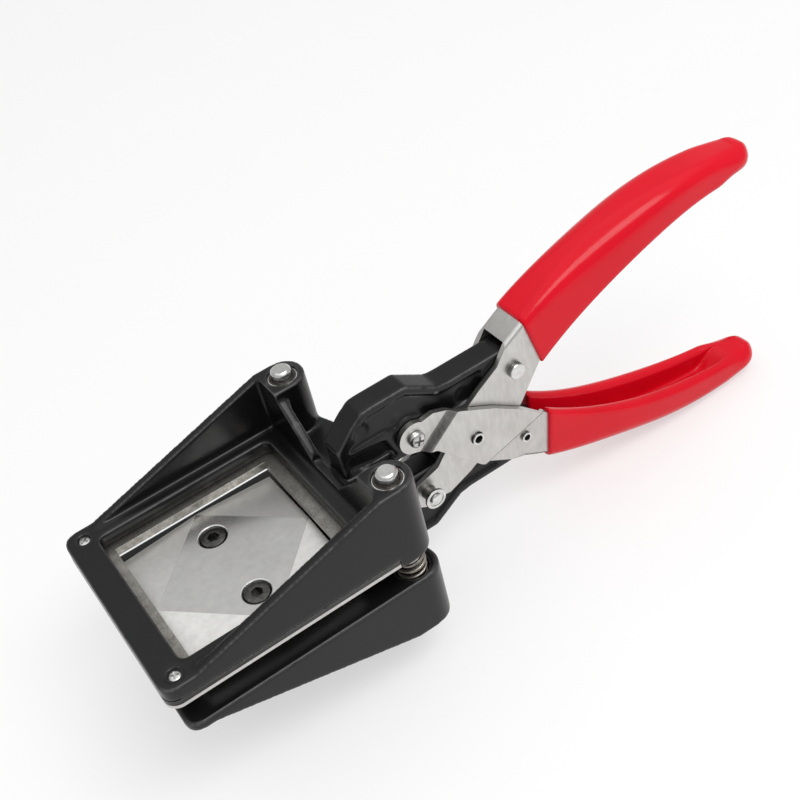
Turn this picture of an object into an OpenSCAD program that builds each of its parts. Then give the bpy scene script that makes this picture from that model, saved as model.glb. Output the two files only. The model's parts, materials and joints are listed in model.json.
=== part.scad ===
// Plier-type photo cutter. A square punch stands on the lower casting. The upper casting carries the
// die plate, slides down two guide posts and is drawn onto the punch by two crossed channel handles.
// X runs from the mouth to the handle tips, Z is the cutting direction and Y is across the photo.

/* [Head] */
// Width of both castings and of the die plate
head_w = 70; // [68:0.5:80]
// Side of the square photo that is cut out
photo_side = 50; // [44:0.5:52]
// From the front edge of the head to the die opening
front_margin = 11.4; // [9.5:0.2:16]
// Thickness of the upper casting's plate
plate_t = 4.7; // [4:0.1:6]
// Thickness of the lower casting's plate
base_plate_t = 3.2; // [2.6:0.1:5]
// How far the front of the lower casting is set back
base_setback = 2; // [0:0.1:4]
// Radius of the front corners
corner_r = 4; // [2:0.5:6]
// Die plate left bare at the sides of the window in the upper casting
side_land = 2.6; // [1.5:0.1:4]
// Die plate left bare along the front of that window
front_land = 2.8; // [1.5:0.1:3.5]
// Die plate left bare along the rear of that window
rear_land = 3.7; // [2:0.1:6]
// Corner radius of that window
window_r = 2; // [1:0.5:4]
// Gap between the die plate and the lower casting
mouth_h = 9.3; // [8.5:0.1:12]
// Thickness of the side ribs
rib_t = 3; // [2:0.1:4]
// From the front edge to the toe of the side ribs
rib_toe = 9.5; // [8:0.5:14]

/* [Die and punch] */
// Thickness of the die plate
die_t = 2.7; // [2:0.1:3.5]
// Gap between punch and die on each side
shear_gap = 0.05; // [0.03:0.01:0.1]
// Level of the flat diamond on the punch below the die plate
punch_drop = 1.5; // [1:0.1:2.5]
// How far the four punch corners slope down from the diamond
shear_rake = 1.8; // [1:0.1:2.5]
// Travel of the die onto the punch
stroke = 6; // [5:0.1:6.4]
// Distance between the two punch screws
punch_screw_span = 27; // [20:0.5:34]
// Head radius of the countersunk punch screws
punch_head_r = 4.4; // [3.6:0.1:4.8]
// Shank radius of the punch screws
punch_shank_r = 2.5; // [2:0.1:3]
// Width of the hexagon socket in the punch screws
punch_hex = 3; // [2.5:0.1:4]

/* [Guides] */
// Radius of the guide posts
post_r = 3.1; // [2.8:0.05:3.3]
// How far the posts stand out of the upper bosses
post_proud = 2.3; // [1.5:0.1:5]
// Running clearance of the posts in the bushes
post_clear = 0.05; // [0.02:0.01:0.09]
// Outer radius of the guide bushes
bush_r = 4.5; // [4.2:0.05:4.9]
// Depth of the bushes below the top of the bosses
bush_sink = 0.8; // [0.4:0.1:1.5]
// Height of the bushes
bush_h = 13.2; // [11:0.1:14]
// Outer radius of the bosses
boss_r = 6.6; // [6.2:0.1:7.5]
// Height of the upper bosses over the die plate
boss_h = 23.3; // [21:0.1:27]
// Depth of the lower bosses below the mouth
base_boss_h = 21; // [19:0.1:27]
// How far the lower bosses reach back past the upper ones
base_heel = 1.2; // [0.2:0.1:2.5]
// Shelf between the window and the bosses
shelf_l = 4.9; // [4.5:0.1:8]
// Wire diameter of the return springs
wire_d = 1.1; // [0.9:0.05:1.15]
// Turns of each return spring
spring_turns = 9; // [6:1:10]
// Gap between a spring and its post
spring_clear = 0.1; // [0.1:0.05:0.25]
// Gap between a spring and its pocket
pocket_clear = 0.15; // [0.1:0.05:0.3]
// Depth of the spring pockets in the lower bosses
pocket_d = 4; // [3:0.1:6]

/* [Linkage] */
// Level of the linkage's middle below the die plate
level_drop = 1.15; // [0.8:0.05:1.5]
// From the guide posts back to the jaw pivots
pivot_back = 20.7; // [20:0.1:26]
// Height of each jaw pivot from the middle
pivot_rise = 11.15; // [10.8:0.05:12]
// From the jaw pivots back to the centre rivet
link_l = 18.4; // [18.2:0.05:18.6]
// From the jaw pivots back to the slide pins
slide_l = 36; // [35.8:0.05:36.4]
// Height of the upper slide pin from the middle
slide_rise = 14.4; // [14:0.1:14.8]
// Depth of the lower slide rivet from the middle
lower_slide_rise = 12.8; // [12.6:0.1:14.8]
// Half thickness of the arms
arm_half = 4.25; // [3.6:0.05:4.5]
// Depth of the hollow panels in the arm sides
panel_d = 1.25; // [0.6:0.05:1.6]
// Radius of the hub round each jaw pivot
hub_r = 6.5; // [5.5:0.1:6.5]
// Play between an arm and a cheek, and between two cheeks
side_play = 0.25; // [0.15:0.05:0.4]
// Play between a cheek and the head, ring or lip beside it
seat_play = 0.1; // [0.05:0.05:0.3]
// Play of the slide pins in their slots
slot_play = 0.3; // [0.25:0.05:0.5]
// Wall behind the end of each slot
slot_wall = 3; // [2:0.1:4]
// Corner radius of the arm ends
tail_r = 4.5; // [2:0.1:5]
// Play of the centre rivet in the lower handle
rivet_play = 0.25; // [0.2:0.05:0.4]
// Running clearance of the jaw pivots
pivot_clear = 0.05; // [0.02:0.01:0.09]
// Radius of the upper pivot screw
screw_r = 2; // [1.6:0.05:2.4]
// Head radius of the upper pivot screw
screw_head_r = 2.7; // [2.5:0.1:3.4]
// Head height of the upper pivot screw
screw_head_h = 1.9; // [1.2:0.1:2.4]
// Radius of the lower pivot pin
pin_r = 2.3; // [1.8:0.05:2.6]
// How far the lower pivot pin stands out to its flange
pin_proud = 3; // [1:0.1:4]
// Flange radius of the lower pivot pin
flange_r = 3.4; // [2.9:0.1:4]
// Outer radius of the centre rivet
rivet_r = 1.85; // [1.6:0.05:2.8]
// Radius of the upper slide pin
slide_pin_r = 2; // [1.7:0.05:2.3]
// How far the upper slide pin stands out of the cheeks
slide_pin_proud = 1.8; // [0.5:0.1:3]
// Radius of the upper slide pin's two ends, outside the cheeks
slide_end_r = 2.6; // [2.4:0.05:3]
// Outer radius of the lower slide rivet
slide_rivet_r = 1.6; // [1.4:0.05:2.5]
// Wall of the two tubular rivets
rivet_wall = 0.6; // [0.4:0.05:1]
// How far the tubular rivets stand out of the cheeks
rivet_proud = 1; // [0.6:0.1:1.6]

/* [Handles] */
// Length of the tool from the mouth to the handle tips
overall_l = 230; // [222:1:250]
// Sheet thickness of the channel handles
sheet_t = 1.75; // [1.4:0.05:2]
// Radius of the round cheek ends
cheek_r = 5.4; // [5:0.1:6.2]
// Thickness of the vinyl on the grips
vinyl_t = 1.15; // [0.8:0.05:1.3]
// Swell of each grip to either side, half-way along it
grip_swell = 1.5; // [0:0.1:2]
// Radius of the round grip tips
tip_r = 4.2; // [3.6:0.1:5]
// How far the upper grip's tip stays behind the lower one
upper_tip_back = 1.5; // [0:0.1:4]
// Height of the upper grip's tip from the middle
upper_tip_rise = 39.8; // [36:0.1:44]
// Depth of the lower grip's tip from the middle
lower_tip_rise = 40.2; // [38:0.1:46]

/* [Hidden] */
$fn = 48;
far = 200;
lap = 1;

// Radii of the springs and of their pockets, with room for the flats of the wire
curl_rings = 8;
coil_r = (post_r + spring_clear + wire_d / 2) / cos(180 / curl_rings);
pocket_r = coil_r + wire_d / 2 + pocket_clear;

// Places along the head
open_x0 = front_margin;
open_x1 = open_x0 + photo_side;
open_mid = (open_x0 + open_x1) / 2;
window_x0 = open_x0 - front_land;
window_x1 = open_x1 + rear_land;
boss_nose = 6.2;
boss_x0 = window_x1 + shelf_l;
boss_x = boss_x0 + boss_nose;
boss_y = head_w / 2 - boss_r;
boss_in = boss_y - boss_r;
foot_wall = 0.85;
foot_drop = 1;
die_l = boss_x - pocket_r - foot_wall;
die_gap = 0.1;

// Levels, with the underside of the die plate at zero
frame_top = die_t + boss_h;
base_bottom = -mouth_h - base_boss_h;
post_top = frame_top + post_proud;
post_chamfer = 0.7;
bush_bottom = frame_top - bush_sink - bush_h;
pocket_bottom = -mouth_h - pocket_d;

// Seats of the castings, as heights from the middle of the linkage
frame_seat = die_t + level_drop;
base_seat = mouth_h - level_drop;

// Linkage: places from the front edge, swing of the handles and run of the slide pins over the stroke
pivot_x = boss_x + pivot_back;
rivet_x = pivot_x + link_l;
slide_x = pivot_x + slide_l;
link_r = norm([link_l, pivot_rise]);
swing = asin(pivot_rise / link_r) - asin((pivot_rise - stroke / 2) / link_r);
slide_run = slide_l * cos(swing) + (pivot_rise + slide_rise) * sin(swing) - slide_l;
cheek_y = arm_half + side_play;
cheek_out = cheek_y + sheet_t;
outer_y = cheek_out + side_play;
outer_out = outer_y + sheet_t;

// Arm outlines, as X from the jaw pivot and height from the middle
arm_crest = [[-23.3, 18.9], [-17.4, 24.9], [-13.4, 27.9], [-9.9, 28.3], [1.6, 28.3], [11.6, 22], [15.1, 21.5]];
arm_belly = [[11.1, 9.2], [6.6, 4.6], [-6, 4.6]];
upper_tail = [[31, 21.5]];
lower_tail = [[31, 21.5], [33.5, 18.8]];
tail_low = 9.2;
arm_root = 4;
ledge_low = 14.5;
ledge_high = 17.2;
upper_panel = [[-20.1, ledge_high], [-15.5, 22.8], [-11.9, 25.6], [0.6, 25.8], [10.6, 19.6], [14.1, 19.2],
    [26, 19.2], [26, 10.6], [11.5, 10.6], [-7.4, ledge_high]];
lower_panel = [[-21, 10.5], [-20.6, ledge_low], [-8.6, ledge_low], [-5.4, 6.4], [-12, 8.5]];
marks = [[-14.3, 21.2], [19, 13.5]];
mark_r = 2.7;
mark_d = 0.35;

// Fins beside the bosses and the floor that ties the bosses to the arm
fin_t = 3;
fin_end = 8;
fin_low = 8;
fin_dip = 2.3;
sill_h = 1.5;
floor_turn = 17;
floor_in = 0.3;
floor_reach = 7.4;
floor_half = 7;

// Cheek outline, as X from the jaw pivot and height from the middle
cheek_back = [[4.9, -4.1], [18.2, 11], [22.9, 14.2], [30.3, 18.7]];
cheek_front = [[36.1, 0.3], [26, -6.9], [15.1, -13], [7.1, -16.2]];
cheek_turn = [125, 305];

// Edges of the vinyl as Bezier points, from the web or the finger side to the tip
tip_lean = 100;
upper_l = overall_l - upper_tip_back;
upper_tip = [upper_l - tip_r, upper_tip_rise];
lower_tip = [overall_l - tip_r, lower_tip_rise];
function tip_end(tip, turn) = tip + tip_r * [cos(turn), sin(turn)];
upper_edges = [
    [[slide_x - 1.9, 25.6], [slide_x + 19.1, 38.6], [upper_l - 45, upper_tip_rise + 11],
        tip_end(upper_tip, tip_lean)],
    [[slide_x + 9.4, 11], [slide_x + 26.1, 22.3], [upper_l - 40, upper_tip_rise - 0.7],
        tip_end(upper_tip, -tip_lean)]];
lower_edges = [
    [[slide_x - 1.9, 22], [slide_x + 17.1, 33.2], [overall_l - 44, lower_tip_rise + 6.4],
        tip_end(lower_tip, tip_lean)],
    [[slide_x + 9.4, 7.8], [slide_x + 27.1, 21.6], [overall_l - 40, lower_tip_rise - 6.6],
        tip_end(lower_tip, -tip_lean)]];
upper_start = 0.1;
lower_start = 0.137;
steel_end = 0.93;
lining_x = slide_x + 16;
swell_x = slide_x + 7;
swell_steps = 16;
edge_steps = 12;
tip_steps = 10;
turn_steps = 12;

// Joggles of the lower handle's cheeks: a point on each fold and the way from it to the middle
toe_fold = [pivot_x + 5.1, -8.9];
toe_way = 51.3;
heel_fold = [slide_x - 4.15, 10.4];
heel_way = 254.6;
fold_run = 1.6;
fold_step = sheet_t + side_play;
fold_slope = fold_step / fold_run;

// Small fasteners
small_r = 1.25;
front_screw_at = [5.3, head_w / 2 - 4.6];
front_head_r = 1.9;
front_head_h = 1.6;
front_head_sink = 0.5;
rear_screw_at = [window_x1 + 2.7, 20];
rear_head_r = 2.3;
rear_head_h = 1.2;
rear_screw_l = 6.2;
cone_land = 0.6;
punch_cone = punch_head_r - punch_shank_r + cone_land;
head_sink = 0.15;
socket_floor = 0.4;
nut_w = 7;
nut_h = 3;
thread_end = 0.6;
ring_h = 1;
ring_wall = 1.2;
flange_h = 1;
dome_r = 2;
dome_h = 0.6;
lip_r = 0.15;
lip_h = 0.4;
cross_l = 4;
cross_w = 0.9;
cross_d = 1.1;
cross_turn = 20;

// Points along curves
function bez(p, t) = let (s = 1 - t)
    s * s * s * p[0] + 3 * s * s * t * p[1] + 3 * s * t * t * p[2] + t * t * t * p[3];
function edge(p, from, to) = [for (i = [0:edge_steps]) bez(p, from + (to - from) * i / edge_steps)];
function arc(at, r, a0, a1, n) = [for (i = [0:n]) let (a = a0 + (a1 - a0) * i / n) at + r * [cos(a), sin(a)]];
function from_pivot(list) = [for (p = list) [pivot_x + p[0], p[1]]];
function shifted(list, by) = [for (p = list) p + by];
function flipped(list) = [for (i = [len(list) - 1:-1:0]) list[i]];

// Edges moved in by what lies over them, square to their mean slope
lean = [0.45, -0.9];
function under_out(edges, depth) = shifted(edge(edges[0], 0, steel_end), depth * lean);
function under_in(edges, depth) = shifted(edge(edges[1], 0, steel_end), -depth * lean);
// Side of a grip seen from above, swelling between its front and its round end
function swollen(end, half, side) = [for (i = [0:swell_steps])
    [swell_x + (end - swell_x) * i / swell_steps,
        side * (half + grip_swell * (1 - cos(360 * i / swell_steps)) / 2)]];

function grip_outline(edges, tip, start) = concat(edge(edges[0], start, 1),
    arc(tip, tip_r, tip_lean, -tip_lean, tip_steps), flipped(edge(edges[1], 0, 1)));

// The lower grip rests at zero, midway along the tool
lift = max([for (p = grip_outline(lower_edges, lower_tip, lower_start)) p[1]]) + level_drop;

// Springs: one wire from its pocket to the bush, with a straight foot at each end
wire_sides = 6;
wind_l = bush_bottom - pocket_bottom - 2 * wire_d;
wind_n = spring_turns * curl_rings;
function wound(i) = let (a = 360 * i / curl_rings)
    [coil_r * cos(a), coil_r * sin(a), pocket_bottom + wire_d + wind_l * i / wind_n];
spring_path = concat([[coil_r, 0, pocket_bottom]], [for (i = [0:wind_n]) wound(i)], [[coil_r, 0, bush_bottom]]);
path_n = len(spring_path);
function unit(v) = v / norm(v);
function heading(i) = i == 0 || i == path_n - 1 ? [0, 0, 1] : unit(spring_path[i + 1] - spring_path[i - 1]);
function spoke(i) = unit([spring_path[i][0], spring_path[i][1], 0]);
function wire_ring(i) = let (out = spoke(i), side = cross(heading(i), out))
    [for (k = [0:wire_sides - 1]) let (a = 360 * k / wire_sides)
        spring_path[i] + wire_d / 2 * (cos(a) * out + sin(a) * side)];
function ring_faces(i) = [for (k = [0:wire_sides - 1])
    let (a = i * wire_sides + k, b = i * wire_sides + (k + 1) % wire_sides)
        each [[a, a + wire_sides, b], [b, a + wire_sides, b + wire_sides]]];
spring_points = [for (i = [0:path_n - 1]) each wire_ring(i)];
last_ring = (path_n - 1) * wire_sides;
spring_faces = concat([for (i = [0:path_n - 2]) each ring_faces(i)],
    [for (k = [1:wire_sides - 2]) [0, k, k + 1]],
    [for (k = [1:wire_sides - 2]) [last_ring, last_ring + k + 1, last_ring + k]]);
half_curl = curl_rings / 2;
coil_gap = min([for (i = [1:path_n - 2]) for (j = [i + half_curl:1:path_n - 2])
    norm(spring_path[i] - spring_path[j])]) - wire_d;
echo(least_gap_between_spring_coils_mm = coil_gap);

// Colours
paint = "#202022";
steel = "#b9b9b6";
bright = "#d8d8d6";
black_oxide = "#2b2b2b";
bronze = "#6f6a60";
red = "#d0121d";

// Stands the tool on its lower grip, midway along its length
module placed() {
    translate([-overall_l / 2, 0, lift]) children();
}

// Puts a piece drawn from the middle of the linkage at its level, upright or mirrored downwards
module above() {
    translate([0, 0, -level_drop]) children();
}
module below() {
    translate([0, 0, -level_drop]) mirror([0, 0, 1]) children();
}

// Prism from an outline in X and Z, between two Y planes
module slab(points, y0, y1) {
    translate([0, y1, 0]) rotate([90, 0, 0]) linear_extrude(y1 - y0) polygon(points);
}

// Round bar along Y
module bar_y(at, r, y0, y1) {
    translate([at[0], y1, at[1]]) rotate([90, 0, 0]) cylinder(r = r, h = y1 - y0);
}

// The same piece on both sides of the tool
module both_sides() {
    children();
    mirror([0, 1, 0]) children();
}

// Plate with two round front corners
module head_plate(x0, x1, t) {
    translate([x0, 0, 0]) linear_extrude(t) {
        translate([corner_r, -head_w / 2]) square([x1 - x0 - corner_r, head_w]);
        translate([0, corner_r - head_w / 2]) square([x1 - x0, head_w - 2 * corner_r]);
        for (side = [-1, 1]) translate([corner_r, side * (head_w / 2 - corner_r)]) circle(corner_r);
    }
}

// Window through the upper casting
module window(t) {
    half = photo_side / 2 + side_land;
    linear_extrude(t) {
        translate([window_x0 + window_r, -half]) square([window_x1 - window_x0 - 2 * window_r, 2 * half]);
        translate([window_x0, window_r - half]) square([window_x1 - window_x0, 2 * half - 2 * window_r]);
        for (x = [window_x0 + window_r, window_x1 - window_r]) for (side = [-1, 1])
            translate([x, side * (half - window_r)]) circle(window_r);
    }
}

// Boss with a square nose and a round back, from one level to another
module boss(z0, z1, nose_x, heel) {
    back_x = boss_x + heel;
    translate([0, boss_y, z0]) linear_extrude(z1 - z0) {
        intersection() {
            translate([back_x, 0]) circle(boss_r);
            translate([nose_x, -boss_r]) square([far, 2 * boss_r]);
        }
        translate([nose_x, -boss_r]) square([back_x - nose_x, 2 * boss_r]);
    }
}

// Arm with hollow panels, a pivot hub and a slot for the slide pin, drawn from the middle
module arm(seat, thick, tail, slot_pin_r, slot_rise, pivot_hole) {
    slot_r = slot_pin_r + slot_play;
    tail_x = slide_x + slide_run + slot_r + slot_wall;
    tail_top = tail[len(tail) - 1][1];
    out_y = arm_half + lap;
    hub = [pivot_x, pivot_rise];
    root_x = boss_x0 + arm_root;
    outline = concat([[root_x, seat], [root_x, seat + thick]], from_pivot(arm_crest), from_pivot(tail),
        [[tail_x, tail_top]], arc([tail_x - tail_r, tail_low + tail_r], tail_r, 0, -90, tip_steps),
        from_pivot(arm_belly), [[pivot_x - floor_reach, seat]]);
    difference() {
        union() {
            slab(outline, -arm_half, arm_half);
            bar_y(hub, hub_r, -arm_half, arm_half);
        }
        both_sides() difference() {
            union() {
                slab(from_pivot(upper_panel), arm_half - panel_d, out_y);
                slab(from_pivot(lower_panel), arm_half - panel_d, out_y);
                for (at = from_pivot(marks)) bar_y(at, mark_r, arm_half - panel_d - mark_d, arm_half);
            }
            bar_y(hub, hub_r, 0, out_y + lap);
        }
        bar_y(hub, pivot_hole, -out_y, out_y);
        for (run = [0, slide_run]) bar_y([slide_x + run, slot_rise], slot_r, -out_y, out_y);
        translate([slide_x, -out_y, slot_rise - slot_r]) cube([slide_run, 2 * out_y, 2 * slot_r]);
    }
}

// Floor between the bosses and the arm, with a slanted rear edge on each side
module rear_floor(thick) {
    corner = [boss_x, boss_y] + (boss_r - floor_in) * [cos(floor_turn), -sin(floor_turn)];
    end_x = pivot_x - floor_reach;
    linear_extrude(thick) polygon([[boss_x0 + fin_t - lap, boss_y], corner, [end_x, floor_half],
        [end_x, -floor_half], [corner[0], -corner[1]], [boss_x0 + fin_t - lap, -boss_y]]);
}

// What both castings share, drawn from the middle: plate, ribs, bosses, fins and floor
module casting(front_x, seat, thick, rise, heel) {
    half = head_w / 2;
    translate([0, 0, seat]) {
        head_plate(front_x, boss_x0 + fin_t, thick);
        rear_floor(thick);
        translate([boss_x0, -fin_end, 0]) cube([fin_t, 2 * fin_end, thick + sill_h]);
        both_sides() {
            slab([[rib_toe, 0], [rib_toe, thick], [boss_x0, rise], [boss_x0 + lap, rise], [boss_x0 + lap, 0]],
                half - rib_t, half);
            boss(0, rise, boss_x0, heel);
            translate([boss_x0, 0, 0]) rotate([90, 0, 90]) linear_extrude(fin_t)
                polygon([[boss_in + lap, 0], [boss_in + lap, rise - fin_dip], [boss_in, rise - fin_dip],
                    [fin_end, fin_low], [fin_end, 0]]);
        }
    }
}

// Cheek outline with its round end at the jaw pivot, running on under the vinyl
module cheek_prism(edges, y0, y1) {
    round_end = arc([pivot_x, -pivot_rise], cheek_r, cheek_turn[1], cheek_turn[0], turn_steps);
    slab(concat(round_end, from_pivot(cheek_back), under_out(edges, vinyl_t),
        flipped(under_in(edges, vinyl_t)), from_pivot(cheek_front)), y0, y1);
}

// Web that joins the two cheeks along the outer edge
module web(edges) {
    slab(concat(under_out(edges, vinyl_t), flipped(under_out(edges, vinyl_t + sheet_t))),
        -cheek_out, cheek_out);
}

// Profile of a cheek's side across a fold, swept along it
module along_fold(fold, way, profile) {
    translate([fold[0], 0, fold[1]]) rotate([0, -way, 0]) linear_extrude(2 * far, center = true) polygon(profile);
}

// Everything inside a cheek's side: it steps out at the toe and comes back in at the heel
module within_cheek(y) {
    intersection() {
        along_fold(toe_fold, toe_way, [[-far, -lap], [-far, y], [0, y], [fold_run, y + fold_step],
            [far, y + fold_step], [far, -lap]]);
        along_fold(heel_fold, heel_way, [[-far, -lap], [-far, y], [0, y],
            [far, y + far * fold_slope], [far, -lap]]);
    }
}

// Channel of the upper handle: flat cheeks next to the arm
module flat_channel() {
    both_sides() cheek_prism(upper_edges, cheek_y, cheek_out);
    web(upper_edges);
}

// Channel of the lower handle: the cheeks step out round the upper handle and back in
module joggled_channel() {
    web_out = under_out(lower_edges, vinyl_t)[0];
    web_in = under_out(lower_edges, vinyl_t + sheet_t);
    last = len(web_in) - 1;
    past_end = 2 * web_in[last] - web_in[last - 1];
    hollow = concat([2 * web_out - web_in[0]], web_in,
        [past_end, [past_end[0], -far / 4], [0, -far / 4], [0, 2 * web_out[1]]]);
    difference() {
        intersection() {
            cheek_prism(lower_edges, -outer_out - lap, outer_out + lap);
            both_sides() within_cheek(cheek_out);
        }
        intersection() {
            slab(hollow, -outer_out, outer_out);
            both_sides() within_cheek(cheek_y);
        }
    }
}

// Holes across a channel for its pivot, the centre rivet and its slide pin
module channel_holes(pivot_hole, rivet_hole, slide_hole, rise) {
    reach = outer_out + lap;
    bar_y([pivot_x, -pivot_rise], pivot_hole, -reach, reach);
    bar_y([rivet_x, 0], rivet_hole, -reach, reach);
    bar_y([slide_x, rise], slide_hole, -reach, reach);
}

// Vinyl over a channel, round at its tip, with a lined hollow between the cheeks
module grip_shell(edges, tip, start) {
    plan_x = tip[0] + tip_r - cheek_out - vinyl_t;
    half = cheek_out + vinyl_t;
    lined = cheek_y - vinyl_t;
    bare = cheek_y + side_play;
    finger_side = flipped(shifted(edge(edges[1], 0, steel_end), [0, -far / 8]));
    difference() {
        intersection() {
            slab(grip_outline(edges, tip, start), -half - grip_swell, half + grip_swell);
            linear_extrude(far, center = true) {
                polygon(concat([[0, -half]], swollen(plan_x, half, -1), flipped(swollen(plan_x, half, 1)),
                    [[0, half]]));
                translate([plan_x, 0]) circle(half);
            }
        }
        children();
        slab(concat(under_out(edges, 2 * vinyl_t + sheet_t), finger_side), -lined, lined);
        intersection() {
            slab(concat(under_out(edges, vinyl_t + sheet_t), finger_side), -bare, bare);
            translate([0, -far / 2, -far / 2]) cube([lining_x, far, far]);
        }
    }
}

// Guide post with a chamfered head
module guide_post(side) {
    translate([boss_x, side * boss_y, 0]) rotate_extrude()
        polygon([[0, base_bottom], [post_r, base_bottom], [post_r, post_top - post_chamfer],
            [post_r - post_chamfer, post_top], [0, post_top]]);
}

// Bush that guides the upper casting on a post
module guide_bush(side) {
    translate([boss_x, side * boss_y, bush_bottom]) difference() {
        cylinder(r = bush_r, h = bush_h);
        translate([0, 0, -lap]) cylinder(r = post_r + post_clear, h = bush_h + 2 * lap);
    }
}

// Compression spring round a post, one unbroken wire
module return_spring(side) {
    translate([boss_x, side * boss_y, 0]) polyhedron(spring_points, spring_faces);
}

// Tubular rivet along Y with a flared lip at each end
module tube_rivet(at, r, half) {
    end = half + rivet_proud;
    difference() {
        union() {
            bar_y(at, r, -end, end);
            both_sides() bar_y(at, r + lip_r, end - lip_h, end);
        }
        bar_y(at, r - rivet_wall, -end - lap, end + lap);
    }
}

module base_casting() {
    color(paint) placed() difference() {
        below() {
            casting(base_setback, base_seat, base_plate_t, base_boss_h, base_heel);
            arm(base_seat, base_plate_t, lower_tail, slide_rivet_r, lower_slide_rise, pin_r);
        }
        for (side = [-1, 1]) {
            translate([boss_x, side * boss_y, base_bottom - lap]) cylinder(r = post_r, h = base_boss_h);
            translate([boss_x, side * boss_y, pocket_bottom]) cylinder(r = pocket_r, h = pocket_d + lap);
            translate([open_mid, side * punch_screw_span / 2, -mouth_h - base_plate_t - lap])
                cylinder(r = punch_shank_r, h = base_plate_t + 2 * lap);
        }
    }
}

module punch_block() {
    side = photo_side - 2 * shear_gap;
    top = mouth_h - punch_drop;
    low = top - shear_rake;
    reach = photo_side / sqrt(8);
    color(steel) placed() translate([open_mid, 0, -mouth_h]) difference() {
        intersection() {
            translate([-side / 2, -side / 2, 0]) cube([side, side, top]);
            intersection_for(turn = [45:90:315]) rotate([0, 0, turn]) rotate([90, 0, 0])
                linear_extrude(far, center = true)
                    polygon([[-far, 0], [2 * reach, 0], [2 * reach, low], [reach, top], [-far, top]]);
        }
        for (y = [-1, 1] * punch_screw_span / 2) translate([0, y, 0]) {
            translate([0, 0, -lap]) cylinder(r = punch_shank_r, h = top);
            translate([0, 0, top - head_sink - punch_cone])
                cylinder(r1 = punch_shank_r, r2 = punch_head_r, h = punch_cone);
            translate([0, 0, top - head_sink]) cylinder(r = punch_head_r, h = lap);
        }
    }
}

module punch_screws() {
    under = -punch_drop - head_sink - punch_cone;
    low = -mouth_h - base_plate_t;
    color(black_oxide) placed() for (y = [-1, 1] * punch_screw_span / 2) translate([open_mid, y, 0]) difference() {
        union() {
            translate([0, 0, low]) cylinder(r = punch_shank_r, h = under - low);
            translate([0, 0, under]) cylinder(r1 = punch_shank_r, r2 = punch_head_r, h = punch_cone);
        }
        translate([0, 0, under + socket_floor]) cylinder(r = punch_hex / sqrt(3), h = punch_cone, $fn = 6);
    }
}

module guide_post_left() {
    color(bright) placed() guide_post(1);
}

module guide_post_right() {
    color(bright) placed() guide_post(-1);
}

module return_spring_left() {
    color(steel) placed() return_spring(1);
}

module return_spring_right() {
    color(steel) placed() return_spring(-1);
}

module lower_pivot_pin() {
    at = [pivot_x, pivot_rise];
    flange = cheek_out + pin_proud;
    dome = flange + flange_h;
    color(bright) placed() below() {
        bar_y(at, pin_r, -flange, cheek_out + seat_play + ring_h + thread_end);
        bar_y(at, flange_r, -dome, -flange);
        bar_y(at, dome_r, -dome - dome_h, -dome);
    }
}

module lower_pivot_ring() {
    at = [pivot_x, pivot_rise];
    start = cheek_out + seat_play;
    color(bright) placed() below() difference() {
        bar_y(at, pin_r + ring_wall, start, start + ring_h);
        bar_y(at, pin_r, start - lap, start + ring_h + lap);
    }
}

module frame_casting() {
    color(paint) placed() difference() {
        union() {
            above() {
                casting(0, frame_seat, plate_t, boss_h, 0);
                arm(frame_seat, plate_t, upper_tail, slide_pin_r, slide_rise, screw_r);
            }
            both_sides() boss(-foot_drop, die_t, die_l + die_gap, 0);
        }
        translate([0, 0, die_t - lap]) window(plate_t + 2 * lap);
        for (side = [-1, 1]) {
            translate([boss_x, side * boss_y, bush_bottom]) cylinder(r = bush_r, h = bush_h + bush_sink + lap);
            translate([boss_x, side * boss_y, -foot_drop - lap])
                cylinder(r = pocket_r, h = bush_bottom + foot_drop + lap);
            translate([front_screw_at[0], side * front_screw_at[1], 0]) {
                cylinder(r = small_r, h = die_t + plate_t);
                translate([0, 0, die_t + plate_t - front_head_sink - front_head_h])
                    cylinder(r = front_head_r, h = plate_t);
            }
            translate([rear_screw_at[0], side * rear_screw_at[1], 0]) cylinder(r = small_r, h = rear_screw_l);
        }
    }
}

module die_plate() {
    through = die_t + 2 * lap;
    color(steel) placed() difference() {
        head_plate(0, die_l, die_t);
        translate([open_x0, -photo_side / 2, -lap]) cube([photo_side, photo_side, through]);
        for (side = [-1, 1]) {
            translate([front_screw_at[0], side * front_screw_at[1], -lap]) cylinder(r = small_r, h = through);
            translate([rear_screw_at[0], side * rear_screw_at[1], -lap]) cylinder(r = small_r, h = through);
            translate([rear_screw_at[0], side * rear_screw_at[1], 0])
                cylinder(r1 = rear_head_r, r2 = small_r, h = rear_head_h);
        }
    }
}

module die_front_screws() {
    under = die_t + plate_t - front_head_sink - front_head_h;
    color(bright) placed() for (side = [-1, 1]) translate([front_screw_at[0], side * front_screw_at[1], 0]) {
        cylinder(r = small_r, h = under);
        translate([0, 0, under]) cylinder(r = front_head_r, h = front_head_h);
    }
}

module die_rear_screws() {
    color(bright) placed() for (side = [-1, 1]) translate([rear_screw_at[0], side * rear_screw_at[1], 0]) {
        cylinder(r1 = rear_head_r, r2 = small_r, h = rear_head_h);
        translate([0, 0, rear_head_h]) cylinder(r = small_r, h = rear_screw_l - rear_head_h);
    }
}

module guide_bush_left() {
    color(bronze) placed() guide_bush(1);
}

module guide_bush_right() {
    color(bronze) placed() guide_bush(-1);
}

module upper_pivot_screw() {
    at = [pivot_x, pivot_rise];
    under = cheek_out + seat_play;
    head = under + screw_head_h;
    color(bright) placed() above() difference() {
        union() {
            bar_y(at, screw_r, -under, under + nut_h + thread_end);
            bar_y(at, screw_head_r, -head, -under);
        }
        for (turn = [0, 90]) translate([at[0], -head, at[1]]) rotate([0, cross_turn + turn, 0])
            cube([cross_l, 2 * cross_d, cross_w], center = true);
    }
}

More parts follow.
